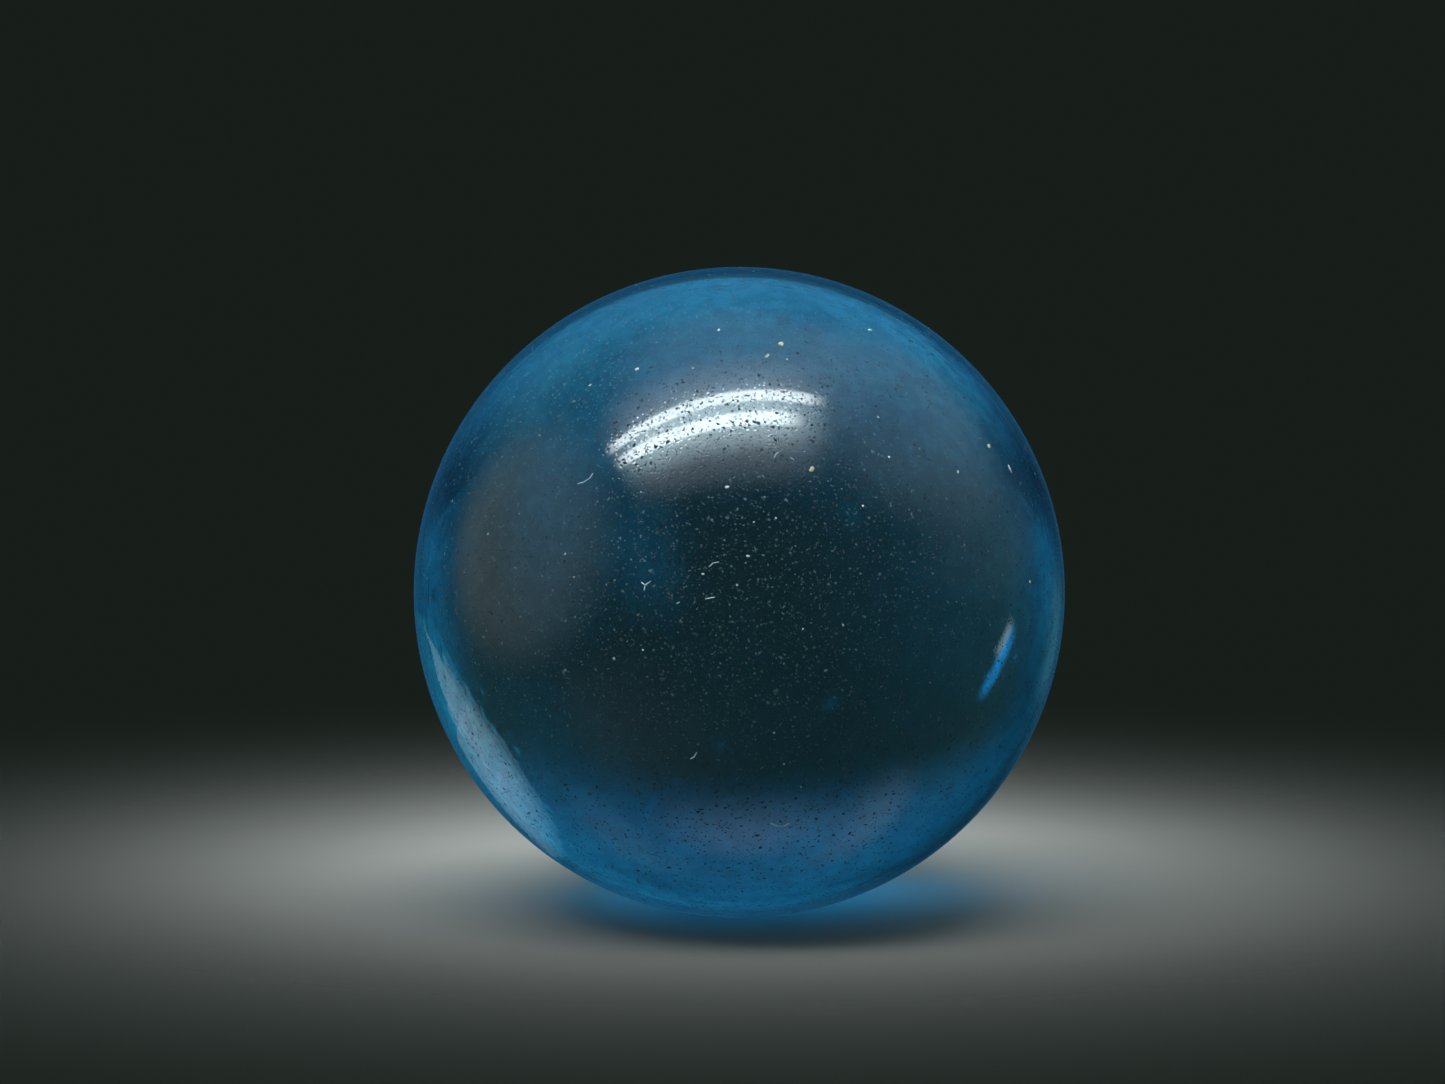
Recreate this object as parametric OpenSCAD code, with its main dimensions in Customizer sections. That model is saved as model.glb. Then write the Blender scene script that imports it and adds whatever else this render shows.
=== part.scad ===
// Polished gemstone sphere: one solid ball of blue topaz, ground round and polished all over.
// The origin is the centre of the ball, and +Z is up.

/* [Sphere] */
// Finished diameter of the polished ball, in mm
sphere_d = 16; // [8:0.5:40]

/* [Hidden] */
// Sides of the circles that the ball is drawn with
$fn = 180;
// Blue of the stone as light comes through it
topaz_blue = [0.06, 0.33, 0.52];
// How solid that blue looks: the stone is clear enough to see through
topaz_alpha = 0.7;

// The whole stone: a single crystal with no bore, flat, seam or setting
module topaz_sphere() {
    color(topaz_blue, topaz_alpha)
        sphere(d = sphere_d);
}

topaz_sphere();
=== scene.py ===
"""A polished ball of blue topaz: the stone, the dust and lint on it, and the studio round it."""

import math
import random

import bmesh
import bpy
from mathutils import Matrix, Vector


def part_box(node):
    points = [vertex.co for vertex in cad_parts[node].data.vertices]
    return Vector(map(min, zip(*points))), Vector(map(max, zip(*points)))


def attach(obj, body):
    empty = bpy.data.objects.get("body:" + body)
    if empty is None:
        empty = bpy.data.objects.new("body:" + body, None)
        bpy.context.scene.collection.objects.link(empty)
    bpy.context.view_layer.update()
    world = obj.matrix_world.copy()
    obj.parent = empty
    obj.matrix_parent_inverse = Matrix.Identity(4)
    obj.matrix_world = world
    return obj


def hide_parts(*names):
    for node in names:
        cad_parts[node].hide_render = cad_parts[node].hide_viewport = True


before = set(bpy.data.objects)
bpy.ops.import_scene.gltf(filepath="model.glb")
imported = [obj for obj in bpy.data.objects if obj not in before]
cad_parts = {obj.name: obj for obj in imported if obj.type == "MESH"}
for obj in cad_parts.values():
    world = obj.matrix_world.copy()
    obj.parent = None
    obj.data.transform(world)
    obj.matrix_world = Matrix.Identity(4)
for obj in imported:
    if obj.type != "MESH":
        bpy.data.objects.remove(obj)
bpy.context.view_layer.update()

MM = 0.001

# The photograph's frame, and where the ball's round outline lies in it, in pixels
PHOTO_W = 1445
PHOTO_H = 1084
BALL_PX = (739.2, 592.1)
BALL_RADIUS_PX = 325.4

# The camera: a long lens, a little above the ball's middle, and how near and far it sees, in metres
LENS_MM = 100.0
SENSOR_MM = 36.0
ELEVATION = math.radians(5.0)
CLIP_NEAR = 0.001
CLIP_FAR = 10.0

# The ball, as the frame gives it
ball_low, ball_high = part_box("topaz_sphere")
BALL_CENTRE = (ball_low + ball_high) / 2
BALL_R = (ball_high.z - ball_low.z) / 2

# The camera's place and directions, from the size that the ball has in the photograph
FOCAL_PX = LENS_MM / SENSOR_MM * PHOTO_W
PIXEL = BALL_R / BALL_RADIUS_PX
CAMERA_DISTANCE = BALL_R / math.sin(math.atan(BALL_RADIUS_PX / FOCAL_PX))
TO_CAMERA = Vector((0.0, -math.cos(ELEVATION), math.sin(ELEVATION)))
RIGHT = Vector((1.0, 0.0, 0.0))
UP = Vector((0.0, math.sin(ELEVATION), math.cos(ELEVATION)))
CAMERA_PLACE = BALL_CENTRE + TO_CAMERA * CAMERA_DISTANCE


# Camera
def make_camera():
    """Stands the camera so that the ball falls on its place in the photograph."""
    right_px = BALL_PX[0] - PHOTO_W / 2
    below_px = BALL_PX[1] - PHOTO_H / 2
    tilt = ELEVATION - math.atan(below_px / FOCAL_PX)
    turn = math.atan(right_px / FOCAL_PX)
    data = bpy.data.cameras.new("camera")
    data.lens = LENS_MM
    data.sensor_width = SENSOR_MM
    data.clip_start = CLIP_NEAR
    data.clip_end = CLIP_FAR
    camera = bpy.data.objects.new("camera", data)
    camera.location = CAMERA_PLACE
    camera.rotation_euler = (math.pi / 2 - tilt, 0.0, turn)
    bpy.context.scene.collection.objects.link(camera)
    bpy.context.scene.camera = camera
    bpy.context.view_layer.update()
    return camera


camera = make_camera()

# How the stone bends light
TOPAZ_IOR = 1.62


# Lines of sight
def pixel_ray(pixel):
    """The direction that a pixel of the photograph looks along."""
    across = (pixel[0] - PHOTO_W / 2) / FOCAL_PX
    up = (PHOTO_H / 2 - pixel[1]) / FOCAL_PX
    ray = camera.matrix_world.to_3x3() @ Vector((across, up, -1.0))
    return ray.normalized()


def ball_point(pixel):
    """Where that pixel's line of sight meets the near side of the ball."""
    ray = pixel_ray(pixel)
    to_ball = BALL_CENTRE - CAMERA_PLACE
    along = to_ball.dot(ray)
    off_axis = to_ball.length_squared - along * along
    depth = along - math.sqrt(max(BALL_R * BALL_R - off_axis, 0.0))
    return CAMERA_PLACE + ray * depth


def mirrored_ray(pixel):
    """The point on the ball at that pixel, and the direction that is seen mirrored there."""
    point = ball_point(pixel)
    normal = (point - BALL_CENTRE).normalized()
    ray = pixel_ray(pixel)
    return point, ray - normal * (2 * ray.dot(normal))


def bent(ray, normal, ratio):
    """A ray bent at a surface: ratio is the first index over the second, normal is on the ray's side."""
    facing = -ray.dot(normal)
    onward = math.sqrt(1 - ratio * ratio * (1 - facing * facing))
    return ray * ratio + normal * (ratio * facing - onward)


def through_ray(pixel):
    """The far point of the ball that is seen through it at that pixel, and the direction beyond it."""
    point = ball_point(pixel)
    normal = (point - BALL_CENTRE).normalized()
    inside = bent(pixel_ray(pixel), normal, 1 / TOPAZ_IOR)
    leaving = point - inside * (2 * BALL_R * inside.dot(normal))
    inward = (BALL_CENTRE - leaving).normalized()
    return leaving, bent(inside, inward, TOPAZ_IOR)


def met(sight, axis, level):
    """Where a line of sight, a start and a direction, meets the plane at that level of an axis."""
    start, ray = sight
    return start + ray * ((level - start[axis]) / ray[axis])


def reached(sight, distance):
    """The point at that distance along a line of sight."""
    start, ray = sight
    return start + ray * distance


# Helpers for materials and objects; a colour ramp's new stop lies halfway until it is moved
NEW_STOP = 0.5


def new_material(name):
    """An empty node material, with its node tree and output."""
    material = bpy.data.materials.new(name)
    material.use_nodes = True
    material.node_tree.nodes.clear()
    output = material.node_tree.nodes.new("ShaderNodeOutputMaterial")
    return material, material.node_tree, output


def add_node(tree, kind, values=None, **settings):
    """A node of that kind with its settings, and the values of its sockets."""
    made = tree.nodes.new(kind)
    for key, value in settings.items():
        setattr(made, key, value)
    for key, value in (values or {}).items():
        made.inputs[key].default_value = value
    return made


def add_ramp(tree, stops):
    """A colour ramp through the given (position, colour) stops."""
    ramp = add_node(tree, "ShaderNodeValToRGB")
    elements = ramp.color_ramp.elements
    while len(elements) < len(stops):
        elements.new(NEW_STOP)
    for element, (position, colour) in zip(elements, stops):
        element.position = position
        element.color = (*colour, 1.0)
    return ramp


def new_object(name, mesh, material):
    """A mesh object with one material, linked to the scene."""
    mesh.materials.append(material)
    made = bpy.data.objects.new(name, mesh)
    bpy.context.scene.collection.objects.link(made)
    return made


# What the stone takes of red, green and blue, per metre of path, and the density that these are shares of
ABSORPTION_PER_M = (270.0, 74.0, 20.0)
ABSORPTION_TOP = 290.0

# The share of light that the finest dust scatters as a haze
HAZE_SHARE = 0.002

# The stone's polish: smears by features per metre, and pits by cells per metre, share of a cell and depth
SMEAR_SCALE = 260.0
SMEAR_DETAIL = 3.0
SMEAR_DISTORTION = 0.6
SMEAR_RANGE = (0.35, 0.75)
SMEAR_ROUGHNESS = (0.02, 0.06)
PIT_SCALE = 10000.0
PIT_SHARE = (0.15, 0.55)
PIT_DEPTH = 0.0015 * MM

# Thin clouds in the stone's skin: features per metre, and the share of each colour that passes
CLOUD_SCALE = 2400.0
CLOUD_DETAIL = 3.0
CLOUD_STOPS = [(0.42, (0.58, 0.68, 0.74)), (0.60, (1.0, 1.0, 1.0))]


def topaz_material():
    """Clear blue stone: its colour deepens along the light's path, its skin has smears, clouds and pits."""
    material, tree, output = new_material("blue_topaz")
    links = tree.links
    place = add_node(tree, "ShaderNodeTexCoord")
    smears = add_node(
        tree,
        "ShaderNodeTexNoise",
        {"Scale": SMEAR_SCALE, "Detail": SMEAR_DETAIL, "Distortion": SMEAR_DISTORTION},
    )
    polish = add_node(
        tree,
        "ShaderNodeMapRange",
        {
            "From Min": SMEAR_RANGE[0],
            "From Max": SMEAR_RANGE[1],
            "To Min": SMEAR_ROUGHNESS[0],
            "To Max": SMEAR_ROUGHNESS[1],
        },
    )
    clouds = add_node(tree, "ShaderNodeTexNoise", {"Scale": CLOUD_SCALE, "Detail": CLOUD_DETAIL})
    tint = add_ramp(tree, CLOUD_STOPS)
    pits = add_node(tree, "ShaderNodeTexVoronoi", {"Scale": PIT_SCALE})
    chance = add_node(tree, "ShaderNodeSeparateColor")
    pit_size = add_node(tree, "ShaderNodeMapRange", {"To Min": PIT_SHARE[0], "To Max": PIT_SHARE[1]})
    pit_rise = add_node(tree, "ShaderNodeMapRange", interpolation_type="SMOOTHSTEP")
    relief = add_node(tree, "ShaderNodeBump", {"Distance": PIT_DEPTH})
    stone = add_node(
        tree,
        "ShaderNodeBsdfPrincipled",
        {"Transmission Weight": 1.0 - HAZE_SHARE, "IOR": TOPAZ_IOR},
    )
    absorb = add_node(tree, "ShaderNodeVolumeAbsorption", {"Density": ABSORPTION_TOP})
    shares = [1.0 - taken / ABSORPTION_TOP for taken in ABSORPTION_PER_M]
    absorb.inputs["Color"].default_value = (*shares, 1.0)
    links.new(place.outputs["Object"], smears.inputs["Vector"])
    links.new(smears.outputs["Fac"], polish.inputs["Value"])
    links.new(polish.outputs["Result"], stone.inputs["Roughness"])
    links.new(place.outputs["Object"], clouds.inputs["Vector"])
    links.new(clouds.outputs["Fac"], tint.inputs["Fac"])
    links.new(tint.outputs["Color"], stone.inputs["Base Color"])
    links.new(place.outputs["Object"], pits.inputs["Vector"])
    links.new(pits.outputs["Color"], chance.inputs["Color"])
    links.new(chance.outputs["Red"], pit_size.inputs["Value"])
    links.new(pit_size.outputs["Result"], pit_rise.inputs["From Max"])
    links.new(pits.outputs["Distance"], pit_rise.inputs["Value"])
    links.new(pit_rise.outputs["Result"], relief.inputs["Height"])
    links.new(relief.outputs["Normal"], stone.inputs["Normal"])
    links.new(stone.outputs["BSDF"], output.inputs["Surface"])
    links.new(absorb.outputs["Volume"], output.inputs["Volume"])
    return material


# The ball's mesh starts as a cube from -1 to 1, with this many squares along each edge
CUBE_SIDE = 2.0
CUBE_SQUARES = 96


def make_ball(material):
    """The ball as a cube of even squares pushed out to the true sphere."""
    shape = bmesh.new()
    bmesh.ops.create_cube(shape, size=CUBE_SIDE)
    bmesh.ops.subdivide_edges(shape, edges=shape.edges[:], cuts=CUBE_SQUARES - 1, use_grid_fill=True)
    for vert in shape.verts:
        even = Vector([math.tan(side * math.pi / 4) for side in vert.co])
        vert.co = BALL_CENTRE + even.normalized() * BALL_R
    for face in shape.faces:
        face.smooth = True
    bmesh.ops.recalc_face_normals(shape, faces=shape.faces[:])
    mesh = bpy.data.meshes.new("topaz_ball")
    shape.to_mesh(mesh)
    shape.free()
    return new_object("topaz_ball", mesh, material)


ball = make_ball(topaz_material())
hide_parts("topaz_sphere")
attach(ball, "root")

# Skin of all dust and lint: patches of colour and fluff, by features per metre, and how deep the fluff is
MOTTLE_SCALE = 8000.0
MOTTLE_DETAIL = 1.0
FLUFF_SCALE = 90000.0
FLUFF_STRENGTH = 0.6
FLUFF_DEPTH = 0.004 * MM
DUST_ROUGHNESS = (0.7, 1.0)

# Fine dust on the side towards the camera: how many grains, and how wide, long and flat they are
DUST_COUNT = 20000
DUST_WIDTH = 0.029 * MM
DUST_SPREAD = 0.38
DUST_LENGTH = (1.0, 1.8)
DUST_FLATNESS = (0.2, 0.4)
DUST_SEED = 11
DUST_STOPS = [
    (0.36, (0.006, 0.010, 0.013)),
    (0.50, (0.020, 0.031, 0.040)),
    (0.66, (0.065, 0.098, 0.118)),
]

# Single grains and flakes that stand out: where they show, and how long and wide they look, in pixels
PALE_GRAINS = [
    ((767, 356), 9, 5), ((637, 369), 6, 5), ((693, 368), 3, 3), ((719, 330), 6, 4), ((889, 457), 4, 3),
    ((863, 506), 3, 3), ((776, 518), 3, 2), ((754, 522), 3, 2), ((748, 556), 5, 3), ((737, 585), 3, 3),
    ((843, 625), 4, 3), ((803, 629), 3, 2), ((614, 659), 5, 4), ((643, 650), 3, 3), ((678, 603), 6, 2),
    ((565, 554), 4, 2), ((574, 577), 3, 2), ((488, 534), 3, 3), ((958, 472), 6, 3), ((774, 733), 3, 3),
    ((801, 787), 3, 3), ((878, 417), 4, 3), ((641, 492), 3, 3), ((816, 413), 4, 3), ((784, 764), 3, 3),
    ((703, 574), 4, 3), ((727, 487), 6, 4), ((1010, 469), 13, 5), ((870, 330), 9, 4), ((590, 385), 5, 3),
]
AMBER_GRAINS = [
    ((781, 344), 9, 8), ((812, 469), 9, 6), ((989, 446), 8, 6), ((1030, 582), 5, 4), ((787, 359), 4, 3),
]
DARK_GRAINS = [
    ((620, 437), 6, 4), ((614, 443), 4, 3), ((630, 435), 3, 3), ((638, 432), 4, 2), ((642, 426), 4, 2),
    ((648, 425), 3, 3), ((652, 422), 4, 3), ((627, 433), 3, 2), ((645, 431), 3, 2), ((682, 412), 4, 3),
    ((689, 412), 5, 3), ((702, 403), 5, 3), ((711, 402), 4, 2), ((711, 406), 3, 2), ((687, 406), 4, 2),
    ((667, 431), 5, 3), ((667, 438), 3, 3), ((668, 442), 5, 5), ((673, 433), 4, 2), ((671, 430), 3, 2),
    ((675, 439), 3, 3), ((661, 447), 5, 3), ((636, 452), 4, 2), ((649, 447), 3, 2), ((642, 457), 5, 4),
    ((624, 460), 5, 3), ((618, 461), 4, 3), ((651, 463), 4, 3), ((710, 421), 4, 3), ((701, 420), 3, 3),
    ((696, 422), 3, 2), ((702, 430), 5, 2), ((714, 430), 4, 3), ((684, 429), 3, 2), ((666, 455), 3, 3),
    ((646, 451), 3, 2), ((608, 449), 4, 3), ((747, 421), 5, 4), ((749, 425), 4, 3), ((755, 422), 6, 3),
    ((765, 422), 4, 3), ((745, 428), 3, 3), ((741, 419), 4, 2), ((736, 419), 3, 2), ((777, 413), 6, 3),
    ((773, 427), 5, 4), ((775, 421), 5, 2), ((790, 396), 6, 2), ((793, 398), 4, 2), ((783, 399), 4, 3),
    ((774, 394), 6, 2), ((784, 392), 5, 2), ((802, 399), 4, 2), ((747, 396), 8, 2), ((750, 411), 3, 3),
    ((724, 428), 5, 3), ((731, 431), 4, 3), ((718, 417), 3, 2), ((755, 396), 3, 2), ((762, 396), 4, 2),
    ((795, 416), 3, 2), ((779, 427), 5, 2), ((739, 409), 4, 3), ((791, 393), 4, 2),
]
PALE_STOPS = [(0.35, (0.20, 0.21, 0.21)), (0.65, (0.50, 0.51, 0.50))]
AMBER_STOPS = [(0.35, (0.36, 0.27, 0.17)), (0.65, (0.50, 0.42, 0.28))]
DARK_STOPS = [(0.35, (0.010, 0.013, 0.015)), (0.65, (0.045, 0.052, 0.058))]
GRAIN_SCALE = 0.7
GRAIN_FLATNESS = 0.45
GRAIN_SEED = 5

# The grains' plain forms, one across: half their width, how finely a pebble is divided, how uneven they get
HALF = 0.5
PEBBLE_FINENESS = 2
UNEVENNESS = (0.8, 1.2)

# Lint: the pixels that each hair runs through
LINT_PX = [
    [(577, 484), (584, 482), (590, 478), (593, 473)],
    [(641, 582), (645, 585), (651, 581)],
    [(645, 585), (644, 591)],
    [(705, 599), (710, 598), (715, 597)],
    [(709, 567), (713, 563), (719, 562)],
    [(774, 458), (776, 454), (779, 452)],
    [(790, 457), (794, 460)],
    [(690, 759), (694, 757), (697, 752)],
    [(770, 823), (777, 826), (784, 826), (790, 823)],
]
LINT_RADIUS = 0.012 * MM
LINT_TIP_RADIUS = 0.005 * MM
LINT_SIDES = 6
LINT_STOPS = [(0.35, (0.38, 0.41, 0.42)), (0.65, (0.62, 0.64, 0.64))]


def dust_material(name, stops):
    """Matt dust whose colour changes from grain to grain, with a rough skin."""
    material, tree, output = new_material(name)
    links = tree.links
    place = add_node(tree, "ShaderNodeTexCoord")
    mottle = add_node(tree, "ShaderNodeTexNoise", {"Scale": MOTTLE_SCALE, "Detail": MOTTLE_DETAIL})
    tint = add_ramp(tree, stops)
    fluff = add_node(tree, "ShaderNodeTexNoise", {"Scale": FLUFF_SCALE})
    relief = add_node(tree, "ShaderNodeBump", {"Strength": FLUFF_STRENGTH, "Distance": FLUFF_DEPTH})
    wear = add_node(tree, "ShaderNodeMapRange", {"To Min": DUST_ROUGHNESS[0], "To Max": DUST_ROUGHNESS[1]})
    body = add_node(tree, "ShaderNodeBsdfPrincipled")
    links.new(place.outputs["Object"], mottle.inputs["Vector"])
    links.new(mottle.outputs["Fac"], tint.inputs["Fac"])
    links.new(tint.outputs["Color"], body.inputs["Base Color"])
    links.new(place.outputs["Object"], fluff.inputs["Vector"])
    links.new(fluff.outputs["Fac"], relief.inputs["Height"])
    links.new(relief.outputs["Normal"], body.inputs["Normal"])
    links.new(fluff.outputs["Fac"], wear.inputs["Value"])
    links.new(wear.outputs["Result"], body.inputs["Roughness"])
    links.new(body.outputs["BSDF"], output.inputs["Surface"])
    return material


def on_ball(point):
    """The point of the ball's surface nearest to that point."""
    return BALL_CENTRE + (point - BALL_CENTRE).normalized() * BALL_R


def chip():
    """The corners and faces of the plainest closed grain, one across."""
    tips = [(HALF, 0, 0), (-HALF, 0, 0), (0, HALF, 0), (0, -HALF, 0), (0, 0, HALF), (0, 0, -HALF)]
    girdle = [(0, 2), (2, 1), (1, 3), (3, 0)]
    top = 4
    bottom = 5
    upper = [(first, second, top) for first, second in girdle]
    lower = [(second, first, bottom) for first, second in girdle]
    return [Vector(tip) for tip in tips], upper + lower


def pebble():
    """The corners and faces of a rounder grain, one across."""
    shape = bmesh.new()
    bmesh.ops.create_icosphere(shape, subdivisions=PEBBLE_FINENESS, radius=HALF)
    shape.verts.index_update()
    corners = [vert.co.copy() for vert in shape.verts]
    faces = [tuple(vert.index for vert in face.verts) for face in shape.faces]
    shape.free()
    return corners, faces


class Lumps:
    """Gathers many small closed lumps on the ball into one mesh."""

    def __init__(self, lump):
        self.lump_corners, self.lump_faces = lump
        self.corners = []
        self.faces = []

    def add(self, point, size, draw):
        """One uneven lump, centred on the ball's surface at that point and turned at random."""
        upright = (point - BALL_CENTRE).to_track_quat("Z", "Y").to_matrix()
        turn = upright @ Matrix.Rotation(draw.uniform(0.0, math.tau), 3, "Z")
        first = len(self.corners)
        for corner in self.lump_corners:
            swell = draw.uniform(*UNEVENNESS)
            local = Vector([side * reach * swell for side, reach in zip(corner, size)])
            self.corners.append(point + turn @ local)
        self.faces.extend(tuple(first + corner for corner in face) for face in self.lump_faces)

    def make(self, name, stops):
        """The gathered lumps as one object of matt dust."""
        mesh = bpy.data.meshes.new(name)
        mesh.from_pydata(self.corners, [], self.faces)
        mesh.update()
        return new_object(name, mesh, dust_material(name, stops))


def make_dust():
    """Fine grains scattered evenly over the side that the camera sees."""
    draw = random.Random(DUST_SEED)
    lumps = Lumps(chip())
    for index in range(DUST_COUNT):
        angle = draw.uniform(0.0, math.tau)
        reach = math.sqrt(draw.random())
        across = RIGHT * math.cos(angle) + UP * math.sin(angle)
        normal = across * reach + TO_CAMERA * math.sqrt(1.0 - reach * reach)
        width = DUST_WIDTH * math.exp(draw.gauss(0.0, DUST_SPREAD))
        size = (width * draw.uniform(*DUST_LENGTH), width, width * draw.uniform(*DUST_FLATNESS))
        lumps.add(BALL_CENTRE + normal * BALL_R, size, draw)
    return lumps.make("fine_dust", DUST_STOPS)


def make_grains(name, grains, stops):
    """The grains that stand out, each where the photograph shows it."""
    draw = random.Random(GRAIN_SEED)
    lumps = Lumps(pebble())
    for pixel, length, width in grains:
        size = [side * PIXEL * GRAIN_SCALE for side in (length, width, width * GRAIN_FLATNESS)]
        lumps.add(ball_point(pixel), size, draw)
    return lumps.make(name, stops)


def hair_rings(points):
    """Rings of corners round a hair that follows those points of the ball and thins to its ends."""
    rings = []
    for index, point in enumerate(points):
        before = points[max(index - 1, 0)]
        after = points[min(index + 1, len(points) - 1)]
        along = (after - before).normalized()
        out = (point - BALL_CENTRE).normalized()
        side = out.cross(along).normalized()
        is_end = index in (0, len(points) - 1)
        radius = LINT_TIP_RADIUS if is_end else LINT_RADIUS
        ring = []
        for step in range(LINT_SIDES):
            angle = math.tau * step / LINT_SIDES
            ring.append(point + (side * math.cos(angle) + out * math.sin(angle)) * radius)
        rings.append(ring)
    return rings


def make_lint():
    """Hairs of lint, each a thin closed tube along the ball's surface."""
    corners = []
    faces = []
    for pixels in LINT_PX:
        points = [ball_point(pixels[0])]
        for start, end in zip(pixels, pixels[1:]):
            middle = (ball_point(start) + ball_point(end)) / 2
            points += [on_ball(middle), ball_point(end)]
        first = len(corners)
        rings = hair_rings(points)
        for ring in rings:
            corners += ring
        for row in range(len(rings) - 1):
            for step in range(LINT_SIDES):
                after = (step + 1) % LINT_SIDES
                low = first + row * LINT_SIDES
                high = low + LINT_SIDES
                faces.append((low + step, low + after, high + after, high + step))
        last = first + (len(rings) - 1) * LINT_SIDES
        faces.append(tuple(first + step for step in reversed(range(LINT_SIDES))))
        faces.append(tuple(last + step for step in range(LINT_SIDES)))
    mesh = bpy.data.meshes.new("lint")
    mesh.from_pydata(corners, [], faces)
    mesh.update()
    return new_object("lint", mesh, dust_material("lint", LINT_STOPS))


for speck in (
    make_dust(),
    make_grains("pale_grains", PALE_GRAINS, PALE_STOPS),
    make_grains("amber_grains", AMBER_GRAINS, AMBER_STOPS),
    make_grains("dark_grains", DARK_GRAINS, DARK_STOPS),
    make_lint(),
):
    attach(speck, "root")

# Studio lights: their colours, and the kinds of rays that a light is hidden from
COOL_WHITE = (0.92, 0.98, 1.0)
TEAL = (0.28, 1.0, 0.92)
SKY_BLUE = (0.25, 0.82, 1.0)
DEEP_BLUE = (0.03, 0.45, 1.0)
CYAN = (0.68, 0.95, 1.0)
ONLY_MIRRORED = ("transmission", "diffuse")
ONLY_THROUGH = ("glossy", "diffuse")
ONLY_ON_DUST = ("glossy", "transmission")
X_AXIS = 0
Z_AXIS = 2

# The soft share of a panel that fades all the way from its middle to its edge
ALL_SOFT = (1.0,)


def panel_reaches(tree, count):
    """How far a point lies from a panel's middle, 1 at the edge: all round, or along each of two sides."""
    place = add_node(tree, "ShaderNodeTexCoord")
    if count == 1:
        reach = add_node(tree, "ShaderNodeVectorMath", operation="LENGTH")
        tree.links.new(place.outputs["Object"], reach.inputs[0])
        return [reach.outputs["Value"]]
    sides = add_node(tree, "ShaderNodeSeparateXYZ")
    tree.links.new(place.outputs["Object"], sides.inputs["Vector"])
    reaches = []
    for side in ("X", "Y"):
        size = add_node(tree, "ShaderNodeMath", operation="ABSOLUTE")
        tree.links.new(sides.outputs[side], size.inputs[0])
        reaches.append(size.outputs[0])
    return reaches


def faded(tree, radiance, soft):
    """The radiance of a panel, which falls to nothing over the soft share next to its edge."""
    level = None
    for reach, share in zip(panel_reaches(tree, len(soft)), soft):
        fade = add_node(
            tree,
            "ShaderNodeMapRange",
            {"From Min": 1.0, "From Max": 1.0 - share},
            interpolation_type="SMOOTHSTEP",
        )
        product = add_node(tree, "ShaderNodeMath", {1: radiance}, operation="MULTIPLY")
        tree.links.new(reach, fade.inputs["Value"])
        tree.links.new(fade.outputs["Result"], product.inputs[0])
        if level:
            tree.links.new(level, product.inputs[1])
        level = product.outputs[0]
    return level


def light_material(name, radiance, soft, colour):
    """Light that doesn't cover what is behind it: even, or soft at its edge where a soft share is given."""
    material, tree, output = new_material(name)
    links = tree.links
    glow = add_node(tree, "ShaderNodeEmission", {"Color": (*colour, 1.0), "Strength": radiance})
    clear = add_node(tree, "ShaderNodeBsdfTransparent")
    sheet = add_node(tree, "ShaderNodeAddShader")
    if soft:
        links.new(faded(tree, radiance, soft), glow.inputs["Strength"])
    links.new(glow.outputs["Emission"], sheet.inputs[0])
    links.new(clear.outputs["BSDF"], sheet.inputs[1])
    links.new(sheet.outputs["Shader"], output.inputs["Surface"])
    return material


def hide(item, kinds):
    """Hides a stage item from those kinds of rays."""
    for kind in kinds:
        setattr(item, "visible_" + kind, False)


def new_light(name, corners, material, hidden_from):
    """A flat stage light with those corners, which the camera doesn't see."""
    mesh = bpy.data.meshes.new(name)
    mesh.from_pydata(corners, [], [tuple(range(len(corners)))])
    light = new_object(name, mesh, material)
    hide(light, ("camera", *hidden_from))
    return light


def light_panel(name, centre, along, size, radiance, soft, colour=COOL_WHITE, hidden_from=()):
    """A glowing panel turned to the ball, its length exactly along the given direction."""
    corners = [(-1, -1, 0), (1, -1, 0), (1, 1, 0), (-1, 1, 0)]
    panel = new_light(name, corners, light_material(name, radiance, soft, colour), hidden_from)
    along = along.normalized()
    facing = BALL_CENTRE - centre
    facing = (facing - along * facing.dot(along)).normalized()
    turn = Matrix((along, facing.cross(along), facing)).transposed().to_4x4()
    half = Matrix.Diagonal((size[0] / 2, size[1] / 2, 1.0, 1.0))
    panel.matrix_world = Matrix.Translation(centre) @ turn @ half


# A pair of long lamps overhead, placed by the two bright lines that the ball mirrors; sizes in metres,
# and the glow's and the tray's lengths as shares of the lower tube's
LAMP_HEIGHT = 0.40
UPPER_TUBE_WIDTH = 0.044
LOWER_TUBE_WIDTH = 0.054
UPPER_TUBE_PX = ((604, 455), (831, 404))
LOWER_TUBE_PX = ((614, 467), (808, 421))
GLOW_PX = ((702, 384), (705, 457))
TRAY_PX = ((702, 342), (707, 484))
TUBE_RADIANCE = 10.5
GLOW_RADIANCE = 5.7
TRAY_RADIANCE = 2.35
TUBE_SOFT = (0.25, 0.50)
GLOW_SOFT = (0.6, 1.0)
TRAY_SOFT = (0.6, 1.0)
GLOW_LENGTH = 1.15
TRAY_LENGTH = 1.25


def ceiling_point(pixel):
    """The point at the lamps' height that is seen mirrored in the ball at that pixel."""
    return met(mirrored_ray(pixel), Z_AXIS, LAMP_HEIGHT)


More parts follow.
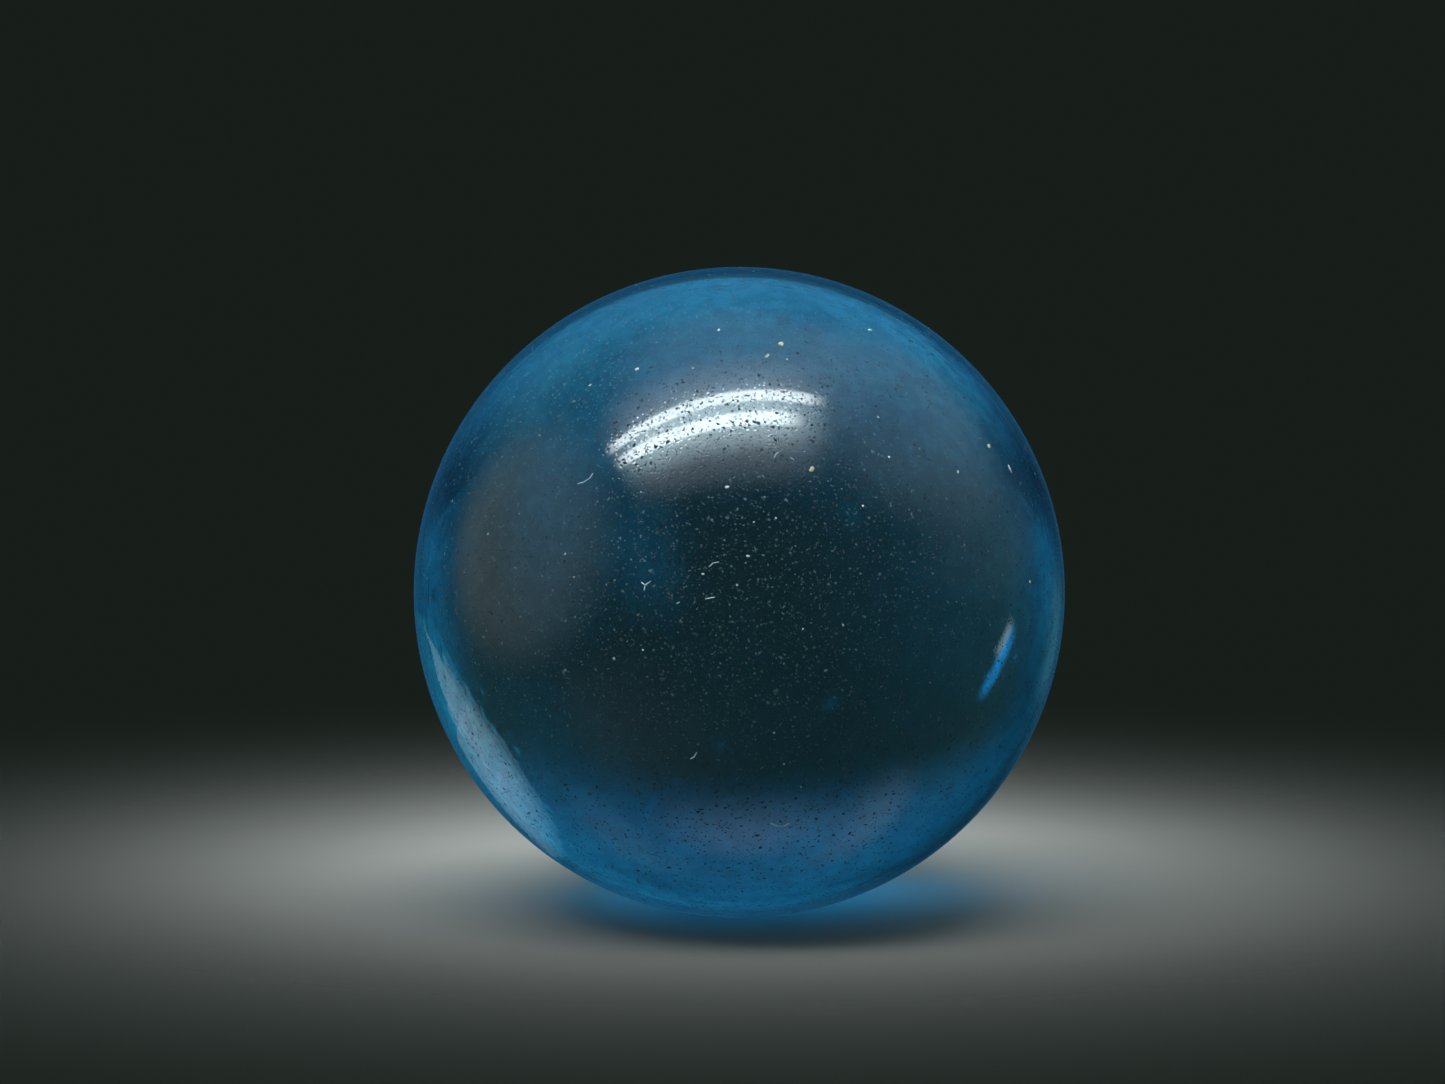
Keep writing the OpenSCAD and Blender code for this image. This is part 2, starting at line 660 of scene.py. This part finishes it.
def make_lamps():
    """Two long tubes, the glow round them and the pale tray that they hang from."""
    for name, ends, width in (
        ("upper_tube", UPPER_TUBE_PX, UPPER_TUBE_WIDTH),
        ("lower_tube", LOWER_TUBE_PX, LOWER_TUBE_WIDTH),
    ):
        start, end = (ceiling_point(pixel) for pixel in ends)
        along = end - start
        light_panel(name, (start + end) / 2, along, (along.length, width), TUBE_RADIANCE, TUBE_SOFT)
    # The glow and the tray follow the lower tube, which was made last
    for name, edges, length, radiance, soft, colour in (
        ("lamp_glow", GLOW_PX, GLOW_LENGTH, GLOW_RADIANCE, GLOW_SOFT, CYAN),
        ("lamp_tray", TRAY_PX, TRAY_LENGTH, TRAY_RADIANCE, TRAY_SOFT, COOL_WHITE),
    ):
        far, near = (ceiling_point(pixel) for pixel in edges)
        size = (along.length * length, (far - near).length)
        light_panel(name, (far + near) / 2, along, size, radiance, soft, colour)


make_lamps()

# Soft lights round the room: the way to each and its spread in degrees, as seen from the ball, and its
# distance in metres. Azimuth 0 lies straight behind the ball and 90 to its right.
SOFT_LIGHTS = [
    # name, azimuth, elevation, width, height, distance, radiance, soft share, colour, hidden from
    ("left_card", -101.0, 14.0, 80.0, 74.0, 0.045, 0.36, 0.60, COOL_WHITE, ()),
    ("right_wall", 85.0, 48.0, 84.0, 77.0, 0.40, 0.38, 0.70, COOL_WHITE, ()),
    ("right_low", 80.0, 12.0, 80.0, 38.0, 0.40, 0.10, 0.80, COOL_WHITE, ()),
    ("back_light", -5.0, 44.0, 116.0, 52.0, 0.40, 0.24, 0.80, SKY_BLUE, ()),
    ("far_wall", -6.0, 2.0, 70.0, 70.0, 0.40, 0.17, 0.70, DEEP_BLUE, ONLY_MIRRORED),
    ("front_fill", 180.0, 12.0, 60.0, 50.0, 0.30, 1.00, 0.60, COOL_WHITE, ONLY_ON_DUST),
]


def make_soft_lights():
    """Soft round panels that stand for the lit walls of the room."""
    for name, azimuth, elevation, width, height, distance, *look in SOFT_LIGHTS:
        radiance, soft, colour, hidden_from = look
        heading = math.radians(azimuth)
        rise = math.radians(elevation)
        level_way = Vector((math.sin(heading), math.cos(heading), 0.0))
        across = Vector((math.cos(heading), -math.sin(heading), 0.0))
        way = level_way * math.cos(rise) + Vector((0.0, 0.0, math.sin(rise)))
        size = [2 * distance * math.tan(math.radians(spread) / 2) for spread in (width, height)]
        light_panel(name, BALL_CENTRE + way * distance, across, size, radiance, (soft,), colour, hidden_from)


make_soft_lights()

# The inner edge of the pale crescent at the lower left, in pixels from its top to its foot
CRESCENT_PX = [
    (428, 620), (442, 650), (458, 680), (476, 710), (499, 740),
    (517, 770), (536, 800), (553, 830), (562, 856),
]

# Three copies a few pixels apart soften that edge. Each is a window on the right, seen through the ball,
# and a strip of card on the floor, mirrored in it. A strip tapers over its first points.
CRESCENT_STRIPS = [
    # shift in pixels, share of the way from the edge to the outline, first point, radiance
    (-5, 0.55, 0, 0.32),
    (0, 0.70, 1, 0.24),
    (5, 0.85, 2, 0.22),
]
CRESCENT_TAPER = 2

# The windows: how far the walls are from the ball, and how far the windows run to the front, in metres
WALL_DISTANCE = 0.40
WINDOW_FRONT = -0.25
WINDOW_RADIANCE = 0.44
WINDOW_COLOUR = (0.30, 1.0, 0.72)

# The floor cards: their level, and how far from the ball's foot their light starts and is full
FLOOR_CARD_LEVEL = ball_low.z + 0.1 * MM
FLOOR_CARD_NEAR = 4.0 * MM
FLOOR_CARD_FAR = 10.0 * MM


def towards_outline(pixel, share):
    """The pixel that lies that share of the way from the given one to the left of the ball's outline."""
    across, down = pixel
    outline = BALL_PX[0] - math.sqrt(BALL_RADIUS_PX ** 2 - (down - BALL_PX[1]) ** 2)
    return across + (outline - across) * share, down


def make_crescent():
    """The windows and the floor cards that make the crescent; the cards dim towards the ball's foot."""
    glass = light_material("window", WINDOW_RADIANCE / len(CRESCENT_STRIPS), (), WINDOW_COLOUR)
    growth = (FLOOR_CARD_NEAR - FLOOR_CARD_FAR) / FLOOR_CARD_NEAR
    foot = Vector((BALL_CENTRE.x, BALL_CENTRE.y, FLOOR_CARD_LEVEL))
    for shift, share, first, radiance in CRESCENT_STRIPS:
        edge = [(across + shift, down) for across, down in CRESCENT_PX]
        pane = [met(through_ray(pixel), X_AXIS, WALL_DISTANCE) for pixel in edge]
        front = [Vector((WALL_DISTANCE, WINDOW_FRONT, corner.z)) for corner in (pane[-1], pane[0])]
        new_light("window", pane + front, glass, ONLY_THROUGH)
        inner = edge[first:]
        outer = []
        for index, pixel in enumerate(inner[1:], start=1):
            outer.append(towards_outline(pixel, share * min(index / CRESCENT_TAPER, 1.0)))
        strip = inner + outer[::-1]
        corners = [met(mirrored_ray(pixel), Z_AXIS, FLOOR_CARD_LEVEL) for pixel in strip]
        paper = light_material("floor_card", radiance, (growth,), COOL_WHITE)
        corners = [(corner - foot) / FLOOR_CARD_NEAR for corner in corners]
        card = new_light("floor_card", corners, paper, ONLY_MIRRORED)
        card.matrix_world = Matrix.Translation(foot) @ Matrix.Scale(FLOOR_CARD_NEAR, 4)


make_crescent()

# The bright streak at the right: a gap on the left shows through the ball, and a small pale light is
# mirrored. A second, weaker light is mirrored along the rim beside it. Widths and distances are in metres.
GAP_PX = ((1017, 620), (976, 704))
GAP_WIDTH = 0.046
GAP_RADIANCE = 0.66
GAP_SOFT = (0.6, 1.0)
GLINT_DISTANCE = 0.018
GLINT_SOFT = (0.7, 1.0)
GLINTS = [
    # name, its two ends and its two sides in pixels, radiance, colour
    ("glint", ((1014, 615), (993, 661)), ((999, 639), (1008, 645)), 1.6, CYAN),
    ("rim_glint", ((1053, 552), (1029, 720)), ((1035, 655), (1056, 660)), 0.17, SKY_BLUE),
]


def make_streak():
    """The gap and the glints that together make the streak and the pale rim beside it."""
    top, low = (met(through_ray(pixel), X_AXIS, -WALL_DISTANCE) for pixel in GAP_PX)
    size = ((top - low).length, GAP_WIDTH)
    middle = (top + low) / 2
    light_panel("gap", middle, top - low, size, GAP_RADIANCE, GAP_SOFT, SKY_BLUE, ONLY_THROUGH)
    for name, ends, sides, radiance, colour in GLINTS:
        top, low = (reached(mirrored_ray(pixel), GLINT_DISTANCE) for pixel in ends)
        left, right = (reached(mirrored_ray(pixel), GLINT_DISTANCE) for pixel in sides)
        size = ((top - low).length, (right - left).length)
        light_panel(name, (top + low) / 2, top - low, size, radiance, GLINT_SOFT, colour, ONLY_MIRRORED)


make_streak()

# Faint glows close behind the ball: the pixel where each shows, its reach in pixels and its radiance
FAINT_GLOWS = [
    ((640, 545), 62, 0.06),
    ((655, 588), 46, 0.05),
    ((560, 500), 85, 0.10),
    ((655, 385), 85, 0.06),
    ((560, 760), 70, 0.04),
    ((965, 520), 85, 0.05),
    ((830, 703), 14, 0.06),
    ((724, 746), 16, 0.06),
    ((849, 513), 18, 0.05),
]
GLOW_DISTANCE = 8.0 * MM

# Soft pools on the floor: centre, size and radiance. Those for the top and the two rims are seen through the
# ball, the others are mirrored, as a pale band along its foot and a sheen at its lower left.
POOLS = [
    ("top_pool", Vector((0.5, 9.7)) * MM, (28.0 * MM, 9.0 * MM), 0.50, ONLY_THROUGH),
    ("left_rim_pool", Vector((34.0, 19.0)) * MM, (52.0 * MM, 36.0 * MM), 0.24, ONLY_THROUGH),
    ("right_rim_pool", Vector((-34.0, 19.0)) * MM, (56.0 * MM, 36.0 * MM), 0.22, ONLY_THROUGH),
    ("foot_pool_left", Vector((-4.2, -4.6)) * MM, (7.0 * MM, 5.0 * MM), 0.11, ONLY_MIRRORED),
    ("foot_pool_middle", Vector((0.3, -6.3)) * MM, (9.0 * MM, 5.0 * MM), 0.36, ONLY_MIRRORED),
    ("foot_pool_right", Vector((5.0, -5.0)) * MM, (8.0 * MM, 5.5 * MM), 0.31, ONLY_MIRRORED),
    ("wide_pool", Vector((-9.0, -11.0)) * MM, (24.0 * MM, 16.0 * MM), 0.08, ONLY_MIRRORED),
]


def make_glows():
    """The faint glows behind the ball and the soft pools on the floor."""
    for number, (pixel, reach_px, radiance) in enumerate(FAINT_GLOWS):
        sides = [(pixel[0] + side * reach_px, pixel[1]) for side in (-1, 0, 1)]
        left, middle, right = (reached(through_ray(side), GLOW_DISTANCE) for side in sides)
        size = [(right - left).length] * 2
        name = "faint_glow_%d" % number
        light_panel(name, middle, right - left, size, radiance, ALL_SOFT, TEAL, ONLY_THROUGH)
    for name, centre, size, radiance, hidden_from in POOLS:
        place = Vector((BALL_CENTRE.x + centre.x, BALL_CENTRE.y + centre.y, FLOOR_CARD_LEVEL))
        light_panel(name, place, RIGHT, size, radiance, ALL_SOFT, COOL_WHITE, hidden_from)


make_glows()

# Floor: pale under and behind the ball and darker further out, a pool of light and its fall into shade
# painted into its colour, then clear so that the room shows
FLOOR_HALF = 0.12
PAINTED_POOL_CENTRE = (0.0 * MM, 8.6 * MM)
PAINTED_POOL_REACH = 11.5 * MM
PAINTED_POOL_FALL = 3.4
FADE_START = 14.0 * MM
FADE_END = 44.0 * MM
FLOOR_PAINTED_POOL_PALE = (0.37, 0.325, 0.305)
FLOOR_PAINTED_SHADE = (0.006, 0.009, 0.007)
FLOOR_GRAIN_SCALE = 900.0
FLOOR_GRAIN_DETAIL = 4.0
FLOOR_GRAIN_DEPTH = 0.05 * MM
FLOOR_GRAIN_STRENGTH = 0.3
FLOOR_ROUGHNESS = 0.9
FLOOR_SHEEN = 0.0


def floor_material():
    """A faintly grained floor with a pool of light painted into its colour: its pale share is 1 / (1 +
    (distance / reach) ** fall), the rest is painted shade.
    """
    material, tree, output = new_material("floor_with_painted_light_pool")
    links = tree.links
    place = add_node(tree, "ShaderNodeTexCoord")
    # How much of the painted pool of light falls here: 1 / (1 + (distance / reach) ** fall)
    reach = add_node(tree, "ShaderNodeVectorMath", operation="LENGTH")
    share = add_node(tree, "ShaderNodeMath", {1: PAINTED_POOL_REACH}, operation="DIVIDE")
    power = add_node(tree, "ShaderNodeMath", {1: PAINTED_POOL_FALL}, operation="POWER")
    more = add_node(tree, "ShaderNodeMath", {1: 1.0}, operation="ADD")
    pool = add_node(tree, "ShaderNodeMath", {0: 1.0}, operation="DIVIDE")
    # The floor's colour runs from painted shade far out to the pale of the painted pool of light near the
    # ball
    tint = add_ramp(tree, [(0.0, FLOOR_PAINTED_SHADE), (1.0, FLOOR_PAINTED_POOL_PALE)])
    grain = add_node(
        tree,
        "ShaderNodeTexNoise",
        {"Scale": FLOOR_GRAIN_SCALE, "Detail": FLOOR_GRAIN_DETAIL},
    )
    relief = add_node(
        tree,
        "ShaderNodeBump",
        {"Strength": FLOOR_GRAIN_STRENGTH, "Distance": FLOOR_GRAIN_DEPTH},
    )
    body = add_node(
        tree,
        "ShaderNodeBsdfPrincipled",
        {"Roughness": FLOOR_ROUGHNESS, "Specular IOR Level": FLOOR_SHEEN},
    )
    far = add_node(
        tree,
        "ShaderNodeMapRange",
        {"From Min": FADE_START, "From Max": FADE_END},
        interpolation_type="SMOOTHSTEP",
    )
    clear = add_node(tree, "ShaderNodeBsdfTransparent")
    mix = add_node(tree, "ShaderNodeMixShader")
    links.new(place.outputs["Object"], reach.inputs[0])
    links.new(reach.outputs["Value"], share.inputs[0])
    links.new(share.outputs[0], power.inputs[0])
    links.new(power.outputs[0], more.inputs[0])
    links.new(more.outputs[0], pool.inputs[1])
    links.new(pool.outputs[0], tint.inputs["Fac"])
    links.new(tint.outputs["Color"], body.inputs["Base Color"])
    links.new(place.outputs["Object"], grain.inputs["Vector"])
    links.new(grain.outputs["Fac"], relief.inputs["Height"])
    links.new(relief.outputs["Normal"], body.inputs["Normal"])
    links.new(reach.outputs["Value"], far.inputs["Value"])
    links.new(far.outputs["Result"], mix.inputs["Fac"])
    links.new(body.outputs["BSDF"], mix.inputs[1])
    links.new(clear.outputs["BSDF"], mix.inputs[2])
    links.new(mix.outputs["Shader"], output.inputs["Surface"])
    return material


def make_floor():
    """The floor that the ball stands on; the floor cards and foot pools are mirrored instead of it."""
    sides = ((-1, -1), (1, -1), (1, 1), (-1, 1))
    corners = [(FLOOR_HALF * across, FLOOR_HALF * back, 0.0) for across, back in sides]
    mesh = bpy.data.meshes.new("floor")
    mesh.from_pydata(corners, [], [(0, 1, 2, 3)])
    floor = new_object("floor", mesh, floor_material())
    # The floor's middle is the middle of the painted pool of light
    floor.location = (BALL_CENTRE.x + PAINTED_POOL_CENTRE[0], BALL_CENTRE.y + PAINTED_POOL_CENTRE[1], ball_low.z)
    hide(floor, ("glossy",))


make_floor()

# World: a room that is dark behind the ball, with a dim teal glow on its other sides and a soft ceiling
ROOM_COLOUR = (0.009, 0.0135, 0.0105)
SIDE_RADIANCE = 0.205
SIDE_START = 0.75
SIDE_FULL = 0.25
CEILING_RADIANCE = 0.40
CEILING_START = 0.78
CEILING_FULL = 0.98


def make_world():
    """The room's own dim light."""
    world = bpy.data.worlds.new("dark_room")
    world.use_nodes = True
    tree = world.node_tree
    tree.nodes.clear()
    links = tree.links
    output = add_node(tree, "ShaderNodeOutputWorld")
    place = add_node(tree, "ShaderNodeTexCoord")
    sides = add_node(tree, "ShaderNodeSeparateXYZ")
    links.new(place.outputs["Generated"], sides.inputs["Vector"])
    total = add_node(tree, "ShaderNodeBackground", {"Color": (*ROOM_COLOUR, 1.0)}).outputs["Background"]
    for side, start, full, radiance, colour in (
        ("Y", SIDE_START, SIDE_FULL, SIDE_RADIANCE, TEAL),
        ("Z", CEILING_START, CEILING_FULL, CEILING_RADIANCE, COOL_WHITE),
    ):
        rise = add_node(
            tree,
            "ShaderNodeMapRange",
            {"From Min": start, "From Max": full, "To Max": radiance},
            interpolation_type="SMOOTHSTEP",
        )
        glow = add_node(tree, "ShaderNodeBackground", {"Color": (*colour, 1.0)})
        both = add_node(tree, "ShaderNodeAddShader")
        links.new(sides.outputs[side], rise.inputs["Value"])
        links.new(rise.outputs["Result"], glow.inputs["Strength"])
        links.new(total, both.inputs[0])
        links.new(glow.outputs["Background"], both.inputs[1])
        total = both.outputs["Shader"]
    links.new(total, output.inputs["Surface"])
    bpy.context.scene.world = world


make_world()
bpy.context.scene.view_settings.view_transform = "Standard"
